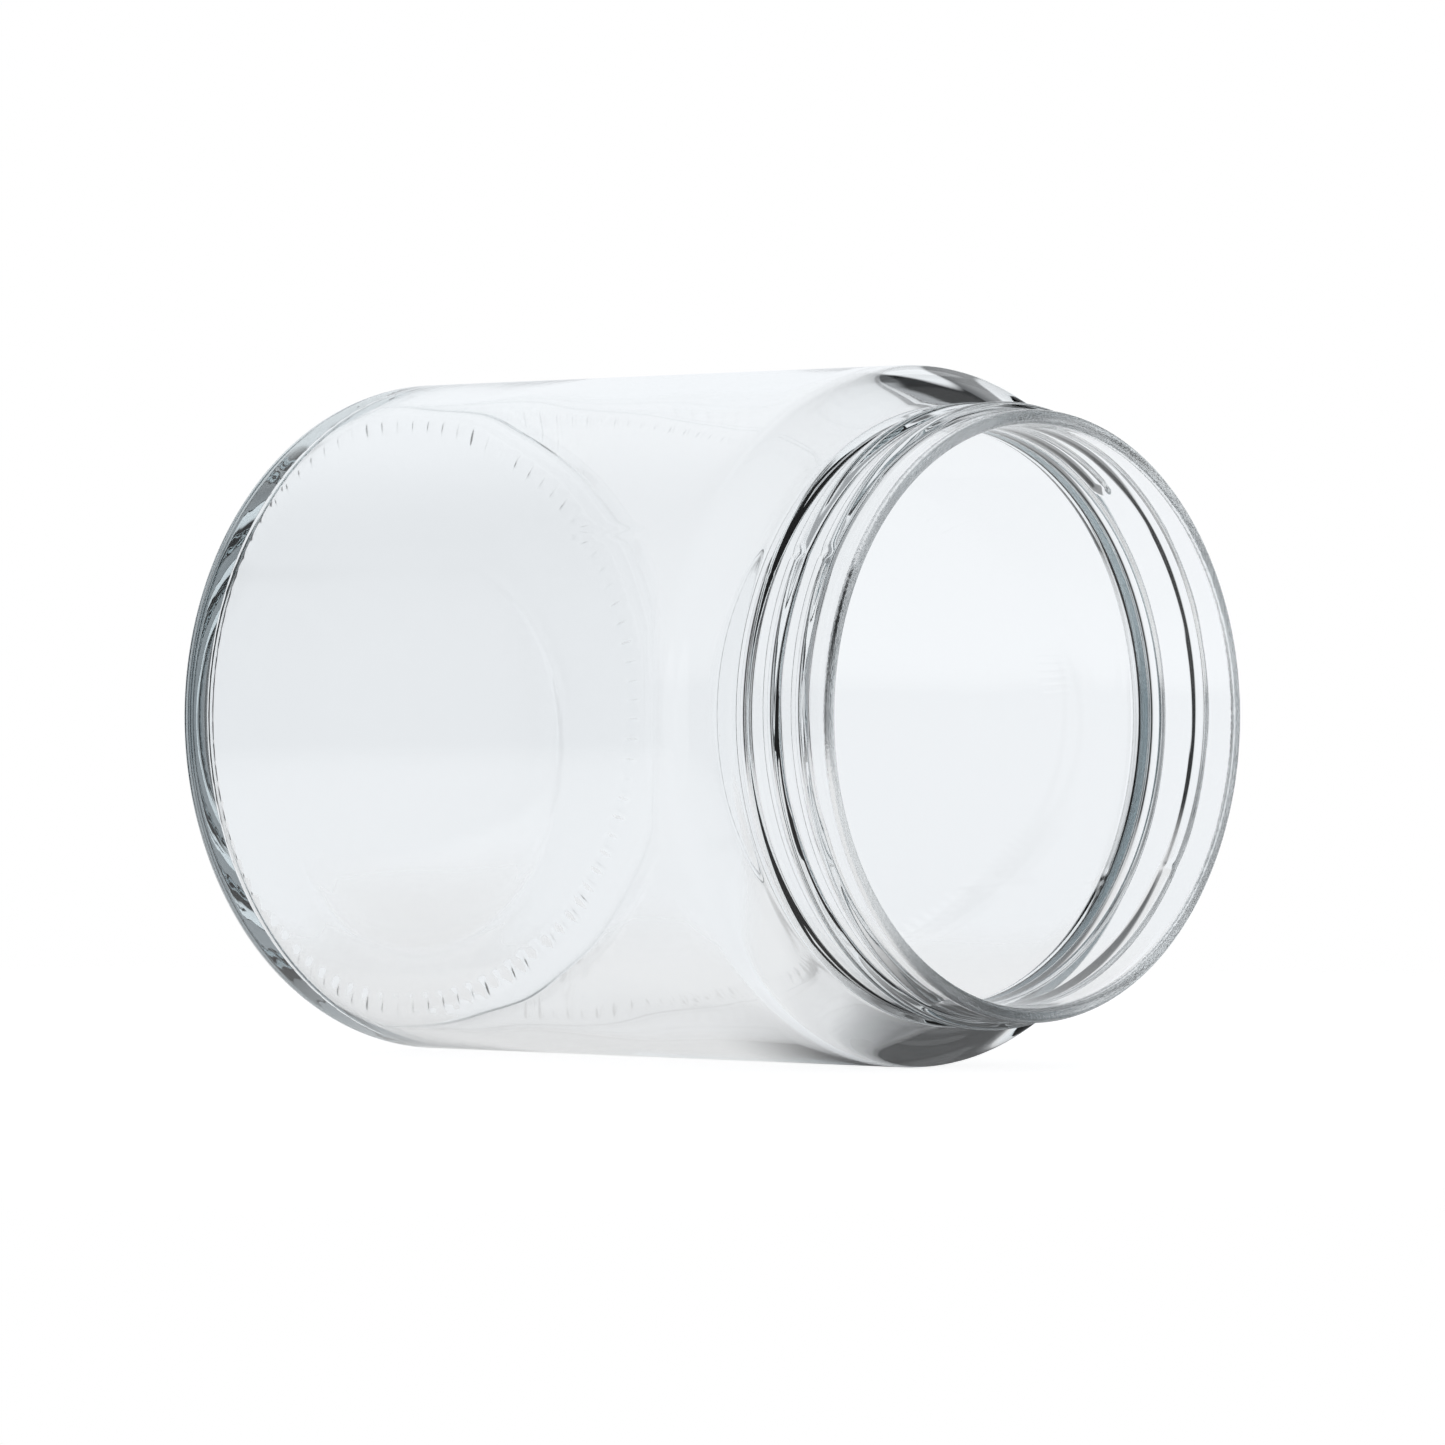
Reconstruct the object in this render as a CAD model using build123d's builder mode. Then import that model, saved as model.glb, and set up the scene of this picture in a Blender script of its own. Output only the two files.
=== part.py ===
from build123d import *
import os

# Empty candle jar: one piece of blow-moulded clear glass, standing on its base.
# Millimetres.  The origin is the centre of the bearing plane, and +Z runs up the
# jar's axis to the mouth.

# ---- overall sizes -------------------------------------------------------
body_diameter = 78.5          # outside of the straight wall
jar_height = 100.6            # bearing plane to the top of the sealing land

# ---- outside of the base and shoulder ------------------------------------
heel_radius = 4.7             # corner between the base and the wall
bearing_width = 4.0           # flat ring that the jar stands on
push_up = 1.8                 # rise of the domed middle of the base
shoulder_radius = 4.8         # corner at the top of the body

# ---- thickness and inside corners of the glass ---------------------------
wall_glass = 2.2
base_glass = 3.0              # over the middle of the dome
shoulder_glass = 2.3
inner_heel_radius = 2.0
inner_shoulder_radius = 5.0
inner_root_radius = 2.6       # where the cavity narrows into the mouth

# ---- neck finish for a 70 mm screw lid -----------------------------------
neck_diameter = 67.6          # between the threads
neck_glass = 1.6              # leaves a mouth 64.4 mm across
finish_height = 13.8          # sealing land down to the shoulder
neck_root_radius = 0.6        # where the neck rises out of the shoulder
lip_radius = 0.5              # both edges of the sealing land

thread_proud = 1.0            # makes the thread 69.6 mm across
thread_width = 2.4            # at its foot
thread_pitch = 4.233          # six turns to the inch
thread_top_depth = 3.0        # sealing land down to the upper end
thread_over_bead = 2.8        # between the middles of the lower end and the bead
thread_end_angle = -38.0      # azimuth of the lower end, in degrees

bead_proud = 0.8              # plain ring under the thread
bead_width = 2.2
bead_lift = 1.5               # shoulder up to the middle of the bead

foot_bite = 0.25              # how far a rib's foot is rooted in the neck

# ---- knurling: short marks across the outer edge of the bearing ring -----
knurl_count = 88
knurl_width = 1.3
knurl_depth = 0.35
knurl_length = 3.8
knurl_offset = 0.35           # middle of a mark beyond the ring's outer edge

# ---- worked out from the sizes above -------------------------------------
body_r = body_diameter / 2
neck_r = neck_diameter / 2
mouth_r = neck_r - neck_glass
cavity_r = body_r - wall_glass
bearing_outer_r = body_r - heel_radius
bearing_inner_r = bearing_outer_r - bearing_width
shoulder_z = jar_height - finish_height
cavity_floor_z = push_up + base_glass
cavity_top_z = shoulder_z - shoulder_glass
bead_z = shoulder_z + bead_lift
thread_end_z = bead_z + thread_over_bead
thread_climb = jar_height - thread_top_depth - thread_end_z


def arc_radius(chord, rise):
    """Radius of the arc that stands a given rise over its chord."""
    return (chord**2 / 4 + rise**2) / (2 * rise)


def corner(section, x, y):
    """The section's vertex nearest to a point."""
    return section.vertices().sort_by_distance((x, y))[0]


def block(radius, low, high):
    """Half section of a cylinder, from the jar's axis outwards."""
    with Locations((radius / 2, (low + high) / 2)):
        Rectangle(radius, high - low)


def half_rib(width, proud):
    """Upper half of a rounded rib that stands on the Y axis and points along +X."""
    rounding = arc_radius(width, proud)
    with Locations((proud - rounding, 0)):
        Circle(rounding)
    with Locations(((proud - foot_bite) / 2, rounding / 2)):
        Rectangle(proud + foot_bite, rounding, mode=Mode.INTERSECT)


# ---- thread: a rounded rib wound round the neck, with rounded ends -------
with BuildPart() as thread:
    with BuildLine() as winding:
        Helix(thread_pitch, thread_climb, neck_r, center=(0, 0, thread_end_z))
    wound = winding.line
    for end, along in ((wound @ 0, wound % 0), (wound @ 1, wound % 1)):
        outwards = Vector(end.X, end.Y, 0)
        with BuildSketch(Plane(end, x_dir=outwards, z_dir=along)):
            half_rib(thread_width, thread_proud)
        revolve(axis=Axis(end, outwards))
    with BuildSketch(Plane(wound @ 0, x_dir=(1, 0, 0), z_dir=wound % 0)):
        half_rib(thread_width, thread_proud)
        mirror(about=Plane.XZ)
    sweep(path=wound, is_frenet=True)

# ---- knurling: a tool for each mark, lying across the bearing ring -------
knurl_tool_r = arc_radius(knurl_width, knurl_depth)
with BuildPart(Plane.XY.offset(knurl_depth - knurl_tool_r)) as knurl_tools:
    with PolarLocations(bearing_outer_r + knurl_offset, knurl_count):
        Cylinder(knurl_tool_r, knurl_length, rotation=(0, 90, 0))

# ---- the jar -------------------------------------------------------------
with BuildPart() as glass_jar:
    # Outside: the body and the neck, turned together.
    with BuildSketch(Plane.XZ) as outside:
        block(body_r, 0, shoulder_z)
        fillet(corner(outside, body_r, 0), heel_radius)
        fillet(corner(outside, body_r, shoulder_z), shoulder_radius)
        block(neck_r, shoulder_z - shoulder_radius, jar_height)
        fillet(corner(outside, neck_r, shoulder_z), neck_root_radius)
    revolve(axis=Axis.Z)

    # Inside: the cavity and the mouth, left open at the top.
    with BuildSketch(Plane.XZ) as inside:
        block(cavity_r, cavity_floor_z, cavity_top_z)
        fillet(corner(inside, cavity_r, cavity_floor_z), inner_heel_radius)
        fillet(corner(inside, cavity_r, cavity_top_z), inner_shoulder_radius)
        block(mouth_r, cavity_top_z - inner_shoulder_radius, jar_height)
        fillet(corner(inside, mouth_r, cavity_top_z), inner_root_radius)
    revolve(axis=Axis.Z, mode=Mode.SUBTRACT)
    land_edges = glass_jar.edges().group_by(Axis.Z)[-1]
    fillet(land_edges, lip_radius)

    # Base: domed up inside the bearing ring, and knurled round it.
    with BuildSketch(Plane.XZ):
        with BuildLine():
            RadiusArc((0, push_up), (bearing_inner_r, 0), arc_radius(2 * bearing_inner_r, push_up))
            Polyline((bearing_inner_r, 0), (0, 0), (0, push_up))
        make_face()
    revolve(axis=Axis.Z, mode=Mode.SUBTRACT)
    add(knurl_tools.part, mode=Mode.SUBTRACT)

    # Neck finish: the plain ring and the thread.
    with BuildSketch(Plane(origin=(neck_r, 0, bead_z), x_dir=(1, 0, 0), z_dir=(0, -1, 0))):
        half_rib(bead_width, bead_proud)
        mirror(about=Plane.XZ)
    revolve(axis=Axis.Z)
    add(thread.part, rotation=(0, 0, thread_end_angle))

glass_jar.part.label = "glass_jar"
os.makedirs("parts", exist_ok=True)
export_step(glass_jar.part, "parts/glass_jar.step")
print("turns of thread:", round(thread_climb / thread_pitch, 2))
print("glass, cubic centimetres:", round(glass_jar.part.volume / 1000, 2))
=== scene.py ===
# %% [markdown]
# # An empty candle jar in clear glass
#
# One blow-moulded jar: a round body, a rounded shoulder, and a short neck with a
# screw thread.  The whole object is a single piece of glass, so everything that
# makes it look real is in two places: the shape of its two skins, outside and
# inside, and the way light bends on its way through them.
#
# The first cell loads the measured model of the jar as a fixed frame.  Nothing
# made here may leave its box.

# %% Load the frame
import math

import bmesh
import bpy
from mathutils import Matrix, Vector, noise


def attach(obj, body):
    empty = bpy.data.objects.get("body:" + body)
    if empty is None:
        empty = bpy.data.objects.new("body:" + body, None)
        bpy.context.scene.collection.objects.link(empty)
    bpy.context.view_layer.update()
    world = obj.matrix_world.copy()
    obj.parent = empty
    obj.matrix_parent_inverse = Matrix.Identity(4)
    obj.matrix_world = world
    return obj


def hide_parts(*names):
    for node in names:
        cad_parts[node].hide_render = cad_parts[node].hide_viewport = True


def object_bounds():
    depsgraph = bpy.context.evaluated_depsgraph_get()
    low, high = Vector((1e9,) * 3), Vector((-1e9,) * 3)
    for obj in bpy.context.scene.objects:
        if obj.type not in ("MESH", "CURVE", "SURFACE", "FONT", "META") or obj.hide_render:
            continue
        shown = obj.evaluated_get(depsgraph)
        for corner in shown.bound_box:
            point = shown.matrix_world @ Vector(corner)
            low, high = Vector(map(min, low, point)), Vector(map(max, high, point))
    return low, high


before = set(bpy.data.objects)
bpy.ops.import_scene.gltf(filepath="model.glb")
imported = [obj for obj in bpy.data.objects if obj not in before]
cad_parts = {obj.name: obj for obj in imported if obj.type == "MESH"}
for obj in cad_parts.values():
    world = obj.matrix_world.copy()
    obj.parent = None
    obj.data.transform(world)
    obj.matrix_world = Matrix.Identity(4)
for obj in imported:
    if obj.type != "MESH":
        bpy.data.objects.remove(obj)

cad_low, cad_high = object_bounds()
print("frame box, mm:", [round(1000 * side, 2) for side in cad_high - cad_low])

# %% [markdown]
# ## Sizes
#
# The two overall sizes come from the frame.  The rest are the jar maker's own
# sizes: how thick the glass is, how round each corner is, and how the neck
# finish is laid out.  They are written in millimetres, as on a mould drawing,
# and turned to metres by one factor.

# %% Sizes of the jar
MM = 0.001

body_r = cad_high.x
jar_height = cad_high.z

heel = 4.7 * MM
bearing_width = 4.0 * MM
push_up = 1.8 * MM
shoulder = 4.8 * MM

wall_glass = 2.2 * MM
floor_z = 4.8 * MM
inner_heel = 2.0 * MM
inner_shoulder = 5.0 * MM
inner_root = 2.6 * MM

neck_r = 33.8 * MM
mouth_r = 32.2 * MM
shoulder_z = jar_height - 13.8 * MM
ceiling_z = shoulder_z - 2.3 * MM
neck_root = 0.6 * MM
lip = 0.5 * MM

bearing_outer_r = body_r - heel
bearing_inner_r = bearing_outer_r - bearing_width
cavity_r = body_r - wall_glass
print("glass in the wall, mm:", round((body_r - cavity_r) / MM, 2))

# %% [markdown]
# ## Drawing a profile
#
# A jar is a turned shape, so half of its section says nearly everything.  The
# section could be a long list of points, but a mould maker draws it as straight
# runs joined by arcs, and two bmesh operators do the same: extrude a vertex to
# draw a run, and spin a vertex to draw an arc.  The pen below keeps its tip at
# the last vertex, so each stretch starts where the one before it ended.


# %% A pen that draws runs and arcs
class Pen:
    """Draws a half section in the XZ plane, where X is the distance from the axis."""

    def __init__(self, x, z):
        self.mesh = bmesh.new()
        self.tip = self.mesh.verts.new((x, 0, z))

    def run(self, x, z, rings=1):
        """A straight run to a point, in even lengths."""
        start = self.tip.co.copy()
        for ring in range(1, rings + 1):
            made = bmesh.ops.extrude_vert_indiv(self.mesh, verts=[self.tip])
            self.tip = made["verts"][0]
            self.tip.co = start.lerp((x, 0, z), ring / rings)

    def arc(self, x, z, degrees, rings):
        """An arc round a centre; positive turns counter-clockwise in the drawing."""
        made = bmesh.ops.spin(
            self.mesh,
            geom=[self.tip],
            cent=(x, 0, z),
            axis=(0, -1, 0),
            angle=math.radians(degrees),
            steps=rings,
        )
        self.tip = [v for v in made["geom_last"] if isinstance(v, bmesh.types.BMVert)][0]

    def turn(self, steps):
        """Turns the section round the jar's axis and closes the seam."""
        bmesh.ops.spin(
            self.mesh,
            geom=self.mesh.verts[:] + self.mesh.edges[:],
            cent=(0, 0, 0),
            axis=(0, 0, 1),
            angle=2 * math.pi,
            steps=steps,
            use_merge=True,
        )
        bmesh.ops.remove_doubles(self.mesh, verts=self.mesh.verts, dist=0.001 * MM)
        print("turned", len(self.mesh.verts), "vertices,", len(self.mesh.faces), "faces")


# %% [markdown]
# ## The outside skin
#
# From the ring that the jar stands on, round the heel, up the wall, over the
# shoulder and up the neck to the lip.  Two places need many rings, because
# relief is pressed into them later: the knurled edge of the bearing ring, and
# the neck, where the thread winds.  A short run on each side of an arc keeps
# the shading of the long wall flat right up to the corner.

# %% Outside: bearing ring to lip
knurl_start_r = 33.0 * MM
guard = 0.4 * MM
knurls = 88
fine_steps = 6 * knurls

outside = Pen(bearing_inner_r + guard, 0)
outside.run(knurl_start_r - guard, 0)
outside.run(bearing_outer_r, 0, rings=8)
outside.arc(bearing_outer_r, heel, 90, rings=20)
outside.run(body_r, heel + guard)
outside.run(body_r, shoulder_z - shoulder - guard, rings=6)
outside.run(body_r, shoulder_z - shoulder)
outside.arc(body_r - shoulder, shoulder_z - shoulder, 90, rings=12)
outside.arc(neck_r + neck_root, shoulder_z + neck_root, -90, rings=5)
outside.run(neck_r, jar_height - lip, rings=48)
outside.arc(neck_r - lip, jar_height - lip, 90, rings=7)
outside.turn(fine_steps)

# %% [markdown]
# ## The inside skin and the base
#
# Inside there is no mould, only air, so the inside skin is softer than the
# outside: wider corners and no relief.  The arc where the mouth opens into the
# cavity touches the shoulder's arc, and the point where they meet follows from
# the two radii.  These skins need fewer steps round the jar than the outside.

# %% Inside: lip to floor, and the underside of the base
coarse_steps = 3 * knurls

arc_gap_x = mouth_r + inner_root - (cavity_r - inner_shoulder)
arc_gap_z = math.sqrt((inner_root + inner_shoulder) ** 2 - arc_gap_x**2)
meeting_angle = math.degrees(math.atan2(arc_gap_z, arc_gap_x))
inner_shoulder_z = ceiling_z - inner_shoulder
root_z = inner_shoulder_z + arc_gap_z

inside = Pen(mouth_r + lip, jar_height)
inside.arc(mouth_r + lip, jar_height - lip, 90, rings=7)
inside.run(mouth_r, root_z, rings=12)
inside.arc(mouth_r + inner_root, root_z, meeting_angle, rings=8)
inside.arc(cavity_r - inner_shoulder, inner_shoulder_z, -meeting_angle, rings=10)
inside.run(cavity_r, floor_z + inner_heel, rings=24)
inside.arc(cavity_r - inner_heel, floor_z + inner_heel, -90, rings=14)
inside.run(0, floor_z, rings=14)
inside.turn(coarse_steps)

dome_tilt = 2 * math.atan(push_up / bearing_inner_r)
foot_r = 60 * MM
dome_r = bearing_inner_r / math.sin(dome_tilt) - foot_r
base = Pen(0, push_up)
base.arc(0, push_up - dome_r, -math.degrees(dome_tilt), rings=50)
base.arc(bearing_inner_r, foot_r, math.degrees(dome_tilt), rings=10)
base.turn(fine_steps // 2)

# %% [markdown]
# ## The thread
#
# The thread is one rounded rib that climbs the neck.  It could be a swept tube
# joined to the neck, but glass shows every hidden face, and a tube that dips
# into the neck would leave its buried half in view.  So the neck's own skin is
# pushed outwards instead: each vertex asks how far it is from the thread's
# middle line, and moves out by the height of the rib there.  A soft maximum
# leaves the small fillet that moulded glass has at the foot of a rib.

# %% Sizes of the neck finish
thread_pitch = 4.233 * MM
thread_low_z = shoulder_z + 4.3 * MM
thread_high_z = jar_height - 3.0 * MM
thread_low_azimuth = math.radians(-38)
thread_turns = (thread_high_z - thread_low_z) / thread_pitch
thread_width, thread_proud = 2.4 * MM, 1.0 * MM
bead_z = shoulder_z + 1.5 * MM
bead_width, bead_proud = 2.2 * MM, 0.8 * MM
foot_softness = 0.10 * MM
seam_azimuth = math.radians(59)
seam_on_thread, seam_cut = 0.6 * MM, 0.25
print("thread turns:", round(thread_turns, 2))

# %% [markdown]
# ## Heights and distances on the neck
#
# Three small functions carry the relief.  One gives the height of a rib from the
# distance to its middle line, one finds that distance for a wound thread, and
# one says how near a point is to a seam of the mould.


# %% Heights and distances
def rib_height(distance, width, proud):
    """Height of a round-backed rib at a distance from its middle line."""
    rounding = (width**2 / 4 + proud**2) / (2 * proud)
    reach = max(rounding**2 - distance**2, 0)
    sharp = math.sqrt(reach) - (rounding - proud)
    return (sharp + math.hypot(sharp, foot_softness)) / 2


def thread_distance(azimuth, z):
    """How far a point of the neck is from the nearest stretch of the thread."""
    start = (azimuth - thread_low_azimuth) / (2 * math.pi) % 1
    nearest = 1.0
    for turn in (start - 1, start, start + 1):
        on_thread = min(max(turn, 0), thread_turns)
        along = (turn - on_thread) * 2 * math.pi * neck_r
        up = z - (thread_low_z + on_thread * thread_pitch)
        nearest = min(nearest, math.hypot(along, up))
    return nearest


def seam_closeness(azimuth, width):
    """1 on either of the two mould seams, falling to 0 a few widths away."""
    off = math.remainder(azimuth - seam_azimuth, math.pi) * neck_r
    return math.exp(-((off / width) ** 2))


# %% [markdown]
# ## Raising the relief
#
# Only the vertices of the neck are visited.  The thread is a little lower where
# it crosses a seam, which breaks up an edge that would look too perfect.

# %% Push the thread and the plain ring out of the neck
neck_vertices = [v for v in outside.mesh.verts if v.co.xy.length < neck_r + MM and v.co.z > shoulder_z]
for v in neck_vertices:
    out = Vector((v.co.x, v.co.y, 0)).normalized()
    azimuth = math.atan2(v.co.y, v.co.x)
    height = rib_height(thread_distance(azimuth, v.co.z), thread_width, thread_proud)
    height *= 1 - seam_cut * seam_closeness(azimuth, seam_on_thread)
    height += rib_height(v.co.z - bead_z, bead_width, bead_proud)
    v.co += out * height
print("relief on", len(neck_vertices), "vertices")

# %% [markdown]
# ## Knurling, seams and the baffle mark
#
# The bearing ring is pressed with short marks, so that the hot jar stands on
# their crests and not on the finished glass.  Each mark is a shallow dent that
# fades at both ends.  The two halves of the mould leave a seam a few hundredths
# of a millimetre high down both sides, and the plate that closed the bottom of
# the first mould leaves a faint ring on the base, a little off the middle.

# %% Press the marks of the mould into the outside
knurl_middle_r = bearing_outer_r + 0.35 * MM
knurl_half_length = 1.9 * MM
knurl_depth = 0.35 * MM
wear_mean, wear_spread, wear_patches = 0.75, 0.5, 40
seam_proud, seam_width = 0.03 * MM, 0.5 * MM
seam_low_z, seam_fade = 9 * MM, 12 * MM


def bump_window(offset, half_width):
    """1 in the middle of a band, 0 at its edges, smooth all the way."""
    if abs(offset) >= half_width:
        return 0
    return math.cos(math.pi / 2 * offset / half_width) ** 2


for v in outside.mesh.verts:
    radius = v.co.xy.length
    azimuth = math.atan2(v.co.y, v.co.x)
    if v.co.z < heel / 2:
        mark = max(math.cos(knurls * azimuth), 0) ** 1.5
        on_ring = Vector((wear_patches * math.cos(azimuth), wear_patches * math.sin(azimuth), 3))
        worn = wear_mean + wear_spread * noise.noise(on_ring)
        fade = math.sqrt(bump_window(radius - knurl_middle_r, knurl_half_length))
        v.co.z += knurl_depth * mark * worn * fade
    elif v.co.z < shoulder_z:
        out = Vector((v.co.x, v.co.y, 0)).normalized()
        fade = min(max((v.co.z - seam_low_z) / seam_fade, 0), 1)
        v.co += out * seam_proud * fade * seam_closeness(azimuth, seam_width)

baffle_middle = Vector((-3.9 * MM, 0, 0))
baffle_r, baffle_width, baffle_proud = 23.5 * MM, 0.8 * MM, 0.05 * MM
for v in base.mesh.verts:
    off = (v.co - baffle_middle).xy.length - baffle_r
    v.co.z -= baffle_proud * bump_window(off, baffle_width)
print("knurl marks:", knurls, "of depth, mm:", round(knurl_depth / MM, 2))

# %% [markdown]
# ## The free inside surface
#
# Air pushed the inside skin into place, so it is never quite true: it waves by
# a few hundredths of a millimetre.  That is far too little to see as shape, but
# refraction makes it plain, and without it the jar looks turned from plastic.

# %% Wave the inside skin
wave_size = 16 * MM
wave_height = 0.05 * MM

for v in inside.mesh.verts:
    if v.co.z > root_z:
        continue
    push = noise.noise(v.co / wave_size + Vector((4, 7, 2)))
    direction = Vector((v.co.x, v.co.y, 0))
    if direction.length > cavity_r - inner_heel:
        v.co += direction.normalized() * wave_height * push
    else:
        v.co.z += wave_height * push
print("the inside skin waves by at most, mm:", round(wave_height / MM, 2))

# %% [markdown]
# ## Joining the skins
#
# The three skins meet on two flat rings: the bearing ring underneath, and the
# sealing land on top of the lip.  Bridging the open loops there makes one closed
# body of glass, which is what the glass material needs: light has to know when
# it is inside.


# %% Join, bridge and finish the jar
def open_edges(mesh, z):
    """Edges with one face, at a given height."""
    return [e for e in mesh.edges if e.is_boundary and abs(e.verts[0].co.z - z) < 0.05 * MM]


jar_mesh = bpy.data.meshes.new("clear_glass_jar")
joined = bmesh.new()
for skin in (outside, inside, base):
    skin.mesh.to_mesh(jar_mesh)
    joined.from_mesh(jar_mesh)
    skin.mesh.free()

for z in (0, jar_height):
    bmesh.ops.bridge_loops(joined, edges=open_edges(joined, z))
bmesh.ops.recalc_face_normals(joined, faces=joined.faces)
for face in joined.faces:
    face.smooth = True
print("open edges left:", sum(e.is_boundary for e in joined.edges))
print("glass, cubic centimetres:", round(joined.calc_volume() * 1e6, 1))
joined.to_mesh(jar_mesh)
joined.free()

jar = bpy.data.objects.new("clear_glass_jar", jar_mesh)
bpy.context.scene.collection.objects.link(jar)
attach(jar, "root")
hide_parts("glass_jar")
print("triangles:", sum(len(p.vertices) - 2 for p in jar_mesh.polygons))

# %% [markdown]
# ## Colour and node helpers
#
# Colours are picked as screen colours, in hex, and Blender works in linear
# light, so one function turns one into the other.  A second one adds a node with
# its settings and its links, which keeps each material short enough to read.


# %% Helpers for materials
def linear(hex_colour):
    """A screen colour such as #f2f4f5 as linear red, green, blue and alpha."""
    channels = [int(hex_colour[i : i + 2], 16) / 255 for i in (1, 3, 5)]
    return [c / 12.92 if c <= 0.04045 else ((c + 0.055) / 1.055) ** 2.4 for c in channels] + [1]


def add_node(tree, kind, settings=None, **inputs):
    """A node with its settings; each input is a value or the node or output that feeds it."""
    node = tree.nodes.new(kind)
    for name, value in (settings or {}).items():
        setattr(node, name, value)
    for name, value in inputs.items():
        socket = node.inputs[int(name[1:]) if name[0] == "_" else name.replace("_", " ")]
        if isinstance(value, bpy.types.Node):
            value = value.outputs[0]
        if isinstance(value, bpy.types.NodeSocket):
            tree.links.new(value, socket)
        else:
            socket.default_value = value
    return node


def new_material(name):
    """An empty node material and its output node."""
    material = bpy.data.materials.new(name)
    material.use_nodes = True
    material.node_tree.nodes.clear()
    return material, material.node_tree.nodes.new("ShaderNodeOutputMaterial")


smooth = {"interpolation_type": "SMOOTHSTEP"}
multiply = {"operation": "MULTIPLY"}
subtract = {"operation": "SUBTRACT"}
maximum = {"operation": "MAXIMUM"}
dot_product = {"operation": "DOT_PRODUCT"}
print("linear value of a middle grey:", round(linear("#808080")[0], 3))

# %% [markdown]
# ## Flint soda-lime glass
#
# Jar glass is soda-lime glass made with little iron, which the trade calls
# flint.  Its index of refraction is 1.52.  The tint could be a colour on the
# surface, but then thin and thick glass would look alike, so it is a volume
# that absorbs: the wall stays clear, and the heel and the shoulder, where light
# travels a long way in the glass, turn a cool grey.  The lip was sealed by a
# cold tool and is grainy, which is the only rough place on the jar.

# %% Glass material
grain_size = 0.35 * MM
grain_relief = 0.12 * MM
grain_starts, grain_full = 0.75 * MM, 0.35 * MM

glass, glass_output = new_material("flint_soda_lime_glass_moulded")
glass_tree = glass.node_tree
on_jar = add_node(glass_tree, "ShaderNodeTexCoord").outputs["Object"]
on_land = add_node(
    glass_tree,
    "ShaderNodeMapRange",
    smooth,
    Value=add_node(glass_tree, "ShaderNodeSeparateXYZ", Vector=on_jar).outputs["Z"],
    From_Min=jar_height - grain_starts,
    From_Max=jar_height - grain_full,
)
grain = add_node(
    glass_tree, "ShaderNodeTexNoise", Vector=on_jar, Scale=1 / grain_size, Detail=3.0, Roughness=0.6
)
grain_height = add_node(glass_tree, "ShaderNodeMath", multiply, _0=grain.outputs["Fac"], _1=on_land)
grainy = add_node(glass_tree, "ShaderNodeBump", Strength=0.6, Distance=grain_relief, Height=grain_height)

surface = add_node(
    glass_tree,
    "ShaderNodeBsdfPrincipled",
    Base_Color=linear("#ffffff"),
    Roughness=0.0,
    IOR=1.52,
    Transmission_Weight=1.0,
    Normal=grainy,
)
depth_tint = add_node(glass_tree, "ShaderNodeVolumeAbsorption", Color=(0.40, 0.55, 0.60, 1), Density=8.0)
glass_tree.links.new(surface.outputs[0], glass_output.inputs["Surface"])
glass_tree.links.new(depth_tint.outputs[0], glass_output.inputs["Volume"])
jar_mesh.materials.append(glass)
print("glass nodes:", len(glass_tree.nodes))

# %% [markdown]
# ## Camera
#
# The jar lies on its side, mouth towards the camera and to the right.  The model
# stands upright, so the camera lies down instead: its right is tilted half way
# from the jar's axis, and its up is the jar's +X.  A long lens far away keeps the
# two ends of the jar nearly the same size.

# %% Camera
lens, sensor = 202.3, 36.0
turn = math.radians(44.86)
distance = 965.5 * MM
base_to_left = 36.4 * MM
base_above_middle = 0.7 * MM

axis_z, axis_y, up = Vector((0, 0, 1)), Vector((0, 1, 0)), Vector((1, 0, 0))
right = axis_z * math.cos(turn) - axis_y * math.sin(turn)
ahead = -axis_z * math.sin(turn) - axis_y * math.cos(turn)

camera_data = bpy.data.cameras.new("camera")
camera_data.lens = lens
camera_data.sensor_width = sensor
camera_data.clip_start, camera_data.clip_end = 0.01, 10
camera = bpy.data.objects.new("camera", camera_data)
bpy.context.scene.collection.objects.link(camera)
camera.location = right * base_to_left - ahead * distance - up * base_above_middle
camera.rotation_mode = "QUATERNION"
camera.rotation_quaternion = Matrix((right, up, -ahead)).transposed().to_quaternion()
bpy.context.scene.camera = camera
print("camera at, mm:", [round(side / MM, 1) for side in camera.location])

# %% [markdown]
# ## Floor
#
# The floor touches the side of the jar, so it is a plane that faces +X.  It has
# one side only, and it fades out away from the jar, because its far edge would
# draw a hard line through the glass.

# %% Floor
floor_half_size = 0.6
floor_middle_z = 0.05
floor_gap = 0.02 * MM

floor_mesh = bpy.data.meshes.new("floor")
floor_bm = bmesh.new()
bmesh.ops.create_grid(floor_bm, x_segments=1, y_segments=1, size=floor_half_size)
face_x = Matrix.Rotation(math.pi / 2, 3, "Y")
bmesh.ops.rotate(floor_bm, verts=floor_bm.verts, cent=(0, 0, 0), matrix=face_x)
bmesh.ops.translate(floor_bm, verts=floor_bm.verts, vec=(-body_r - floor_gap, 0, floor_middle_z))
floor_bm.to_mesh(floor_mesh)
floor_bm.free()
floor = bpy.data.objects.new("floor", floor_mesh)
bpy.context.scene.collection.objects.link(floor)
print("floor at x, mm:", round((-body_r - floor_gap) / MM, 2))
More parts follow.
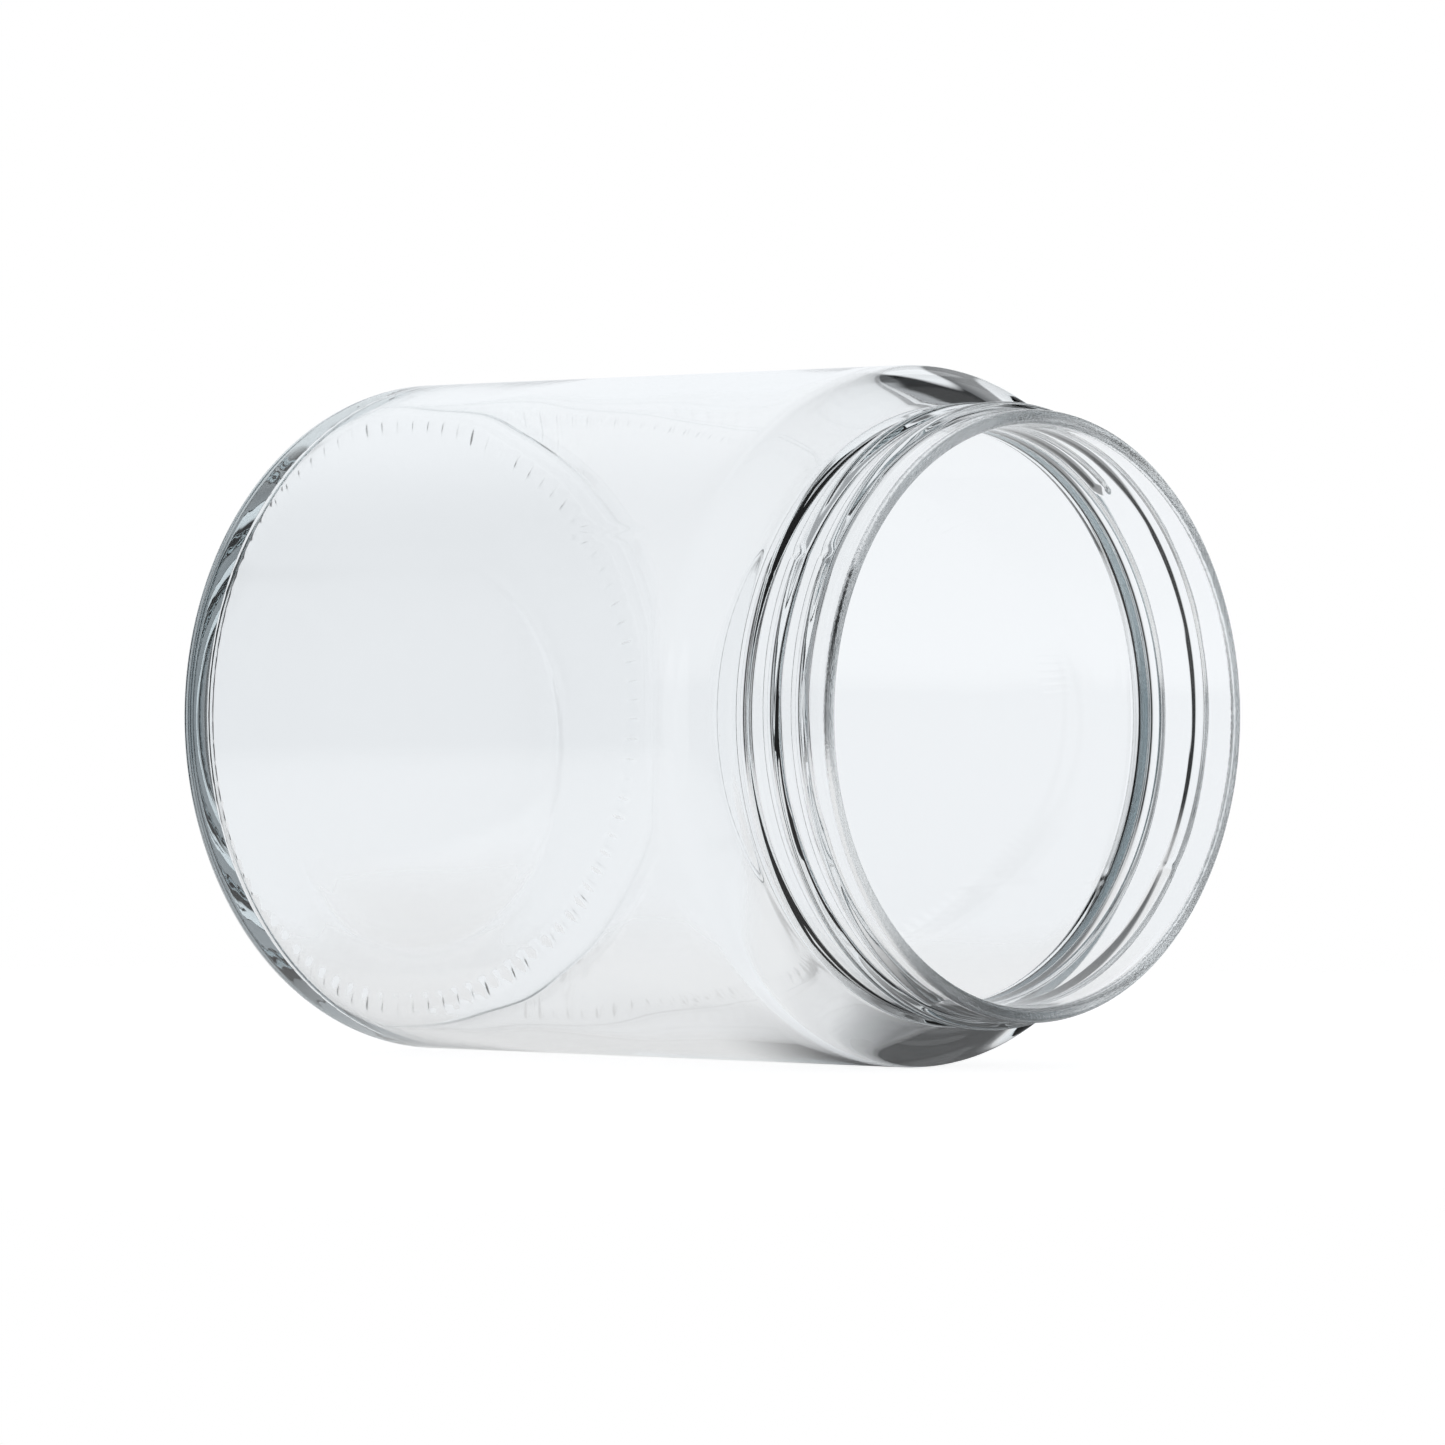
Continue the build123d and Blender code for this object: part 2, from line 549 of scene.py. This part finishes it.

# %% [markdown]
# ## White card and a painted shadow
#
# The card is white and glows a little, so that it looks as bright as the
# backdrop.  Light that reaches it through the glass meets something else: a
# dimmer card, with a shadow painted on it behind and below the neck, where the
# glass would cast its shade.  A studio would get this dark with a black card
# hidden by cropping, but here it is painted shade.  The painted shadow draws the
# dark edge under the shoulder.  It is a trick, and it shows as a grey cloud
# when the jar is looked at from straight above the floor.

# %% White card material and painted shadow
seen_glow, unseen_glow = 0.85, 0.62
# Where the painted shadow lies, behind and below the neck, and how dark it is; only rays through the glass
# see it
painted_shadow_darkness = 0.88
painted_shadow_z = 0.058, 0.078
painted_shadow_y = 0.025, 0.005
fade_from, fade_to = 0.08, 0.35

paper, paper_output = new_material("white_floor_with_painted_shadow")
floor_tree = paper.node_tree
seen = add_node(floor_tree, "ShaderNodeLightPath").outputs["Is Camera Ray"]
on_floor = add_node(floor_tree, "ShaderNodeTexCoord").outputs["Object"]
parts = add_node(floor_tree, "ShaderNodeSeparateXYZ", Vector=on_floor)
in_painted_shadow = [
    add_node(floor_tree, "ShaderNodeMapRange", smooth, Value=parts.outputs[axis], From_Min=near, From_Max=far)
    for axis, (near, far) in (("Z", painted_shadow_z), ("Y", painted_shadow_y))
]
painted_shadow_mask = add_node(floor_tree, "ShaderNodeMath", multiply, _0=in_painted_shadow[0], _1=in_painted_shadow[1])
unseen = add_node(floor_tree, "ShaderNodeMath", subtract, _0=1.0, _1=seen)
unseen_painted_shadow = add_node(floor_tree, "ShaderNodeMath", multiply, _0=painted_shadow_mask, _1=unseen)
darkened = add_node(floor_tree, "ShaderNodeMath", multiply, _0=unseen_painted_shadow, _1=painted_shadow_darkness)

card = add_node(floor_tree, "ShaderNodeBsdfDiffuse", Color=linear("#cfcfcf"))
strength = add_node(floor_tree, "ShaderNodeMix", _0=seen, _2=unseen_glow, _3=seen_glow)
glow = add_node(floor_tree, "ShaderNodeEmission", Color=linear("#ffffff"), Strength=strength)
white_card = add_node(floor_tree, "ShaderNodeAddShader", _0=card, _1=glow)
# A dark diffuse that paints the shadow under the shoulder and neck onto the floor
painted_shadow_shader = add_node(floor_tree, "ShaderNodeBsdfDiffuse", Color=linear("#4a4d50"))
lit = add_node(floor_tree, "ShaderNodeMixShader", _0=darkened, _1=white_card, _2=painted_shadow_shader)

back = add_node(floor_tree, "ShaderNodeNewGeometry").outputs["Backfacing"]
away = add_node(floor_tree, "ShaderNodeVectorMath", {"operation": "LENGTH"}, _0=on_floor)
gone = add_node(
    floor_tree,
    "ShaderNodeMapRange",
    smooth,
    Value=away.outputs["Value"],
    From_Min=fade_from,
    From_Max=fade_to,
)
hidden = add_node(floor_tree, "ShaderNodeMath", maximum, _0=back, _1=gone)
clear = add_node(floor_tree, "ShaderNodeBsdfTransparent")
one_sided = add_node(floor_tree, "ShaderNodeMixShader", _0=hidden, _1=lit, _2=clear)
floor_tree.links.new(one_sided.outputs[0], paper_output.inputs["Surface"])
floor_mesh.materials.append(paper)
print("floor nodes:", len(floor_tree.nodes))

# %% [markdown]
# ## The room
#
# Clear glass is lit by what is behind and around it.  In a bright field the
# backdrop is white, and the glass draws its own dark lines wherever it bends the
# view away to something darker.  Lamps could light it, but they would only add
# highlights, so the whole room is drawn on the world: white cards, dark cards,
# and grey walls between them.  Directions are angles round the jar, counted to
# the right from straight ahead, and angles above the floor.

# %% Start the world
world = bpy.data.worlds.new("studio")
bpy.context.scene.world = world
world.use_nodes = True
sky_tree = world.node_tree
sky_tree.nodes.clear()
sky_output = sky_tree.nodes.new("ShaderNodeOutputWorld")
direction = add_node(sky_tree, "ShaderNodeTexCoord").outputs["Generated"]
towards_right, towards_ahead, upwards = [
    add_node(sky_tree, "ShaderNodeVectorMath", dot_product, _0=direction, _1=axis).outputs["Value"]
    for axis in (right, ahead, up)
]
sideways = add_node(sky_tree, "ShaderNodeMath", {"operation": "ARCTAN2"}, _0=towards_right, _1=towards_ahead)
print("directions measured:", len((sideways, upwards)))

# %% [markdown]
# ## White cards and dark cards
#
# A white card is round: the cosine of the angle to its middle is compared with
# the cosines of its edges.  A dark card is upright, like a strip of black paper
# on a stand, so that it darkens a thin line on each upright curve of the glass
# and leaves the rest white.  Both have soft edges, as cards out of focus do.


# %% Shapes of the cards
def white_card_mask(towards, half_width, soft_edge):
    """1 in the middle of a round card, 0 past its soft edge; widths in degrees."""
    facing = add_node(
        sky_tree, "ShaderNodeVectorMath", dot_product, _0=direction, _1=towards.normalized()
    )
    outer, inner = math.radians(half_width + soft_edge), math.radians(half_width)
    return add_node(
        sky_tree,
        "ShaderNodeMapRange",
        smooth,
        Value=facing.outputs["Value"],
        From_Min=math.cos(outer),
        From_Max=math.cos(inner),
    )


def dark_card_mask(middle, half_width, low, high, darkness, soft_edge=4):
    """How dark an upright card makes a direction: its place and its size are in degrees."""
    edge, soft = math.radians(half_width), math.radians(soft_edge)
    turned = add_node(sky_tree, "ShaderNodeMath", subtract, _0=sideways, _1=math.radians(middle))
    off = add_node(sky_tree, "ShaderNodeMath", {"operation": "ABSOLUTE"}, _0=turned)
    limits = (
        (off, edge - soft / 2, edge + soft / 2),
        (upwards, math.sin(math.radians(low - soft_edge)), math.sin(math.radians(low))),
        (upwards, math.sin(math.radians(high)), math.sin(math.radians(high + soft_edge))),
    )
    beside, over_foot, over_top = [
        add_node(sky_tree, "ShaderNodeMapRange", smooth, Value=value, From_Min=start, From_Max=end)
        for value, start, end in limits
    ]
    across = add_node(sky_tree, "ShaderNodeMath", subtract, _0=1.0, _1=beside)
    tall = add_node(sky_tree, "ShaderNodeMath", subtract, _0=over_foot, _1=over_top)
    inside_card = add_node(sky_tree, "ShaderNodeMath", multiply, _0=across, _1=tall)
    return add_node(sky_tree, "ShaderNodeMath", multiply, _0=inside_card, _1=darkness)


# %% [markdown]
# ## Placing the cards
#
# The backdrop is a wide white card.  The dark cards stand to its right and left,
# and a greyer one leans over the shoulder.  Two small white cards lie where the
# jar is looked through from other sides, which keeps its body bright there.  The
# camera itself sees plain white and none of the cards.

# %% Place the cards
backdrop = white_card_mask(ahead - 0.35 * right, 40, 20)
window_over_shoulder = white_card_mask(Vector((0.68, -0.68, -0.26)), 7, 3)
window_behind_camera = white_card_mask(Vector((0, 1, -0.05)), 16, 8)
windows = add_node(sky_tree, "ShaderNodeMath", maximum, _0=window_over_shoulder, _1=window_behind_camera)

dark_cards = (
    # middle, half width, foot and top in degrees, then how dark
    (39, 11, -45, 50, 1.0),
    (24, 21, 16, 80, 0.72),
    (-28, 7, -45, 30, 1.0),
    (-64, 11, -45, 30, 1.0),
)
flags = dark_card_mask(*dark_cards[0])
for placing in dark_cards[1:]:
    flags = add_node(sky_tree, "ShaderNodeMath", maximum, _0=flags, _1=dark_card_mask(*placing))
print("dark cards:", len(dark_cards))

# %% [markdown]
# ## Painting the room
#
# Each layer is mixed over the one before: grey walls, the white backdrop, the
# dark cards, the two small white cards.  Light that is guided round inside the
# heel is mirrored many times before it leaves, and each mirroring is a bounce.
# With the usual limits that light ends black, so the limits are raised.

# %% Paint the room
card_white, wall_grey, card_black = linear("#f7fafd"), linear("#9fa2a5"), linear("#0c0d0e")
guided_bounces = 32

room = wall_grey
for mask, colour in ((backdrop, card_white), (flags, card_black), (windows, card_white)):
    layer = add_node(sky_tree, "ShaderNodeMix", {"data_type": "RGBA"}, _0=mask, _6=room, _7=colour)
    room = layer.outputs[2]
seen_directly = add_node(sky_tree, "ShaderNodeLightPath").outputs["Is Camera Ray"]
background = add_node(
    sky_tree, "ShaderNodeMix", {"data_type": "RGBA"}, _0=seen_directly, _6=room, _7=linear("#ffffff")
)
sky = add_node(sky_tree, "ShaderNodeBackground", Color=background.outputs[2], Strength=1.0)
sky_tree.links.new(sky.outputs[0], sky_output.inputs["Surface"])

bpy.context.scene.view_settings.view_transform = "Standard"
cycles = bpy.context.scene.cycles
cycles.max_bounces = cycles.transmission_bounces = cycles.glossy_bounces = guided_bounces
print("world nodes:", len(sky_tree.nodes))
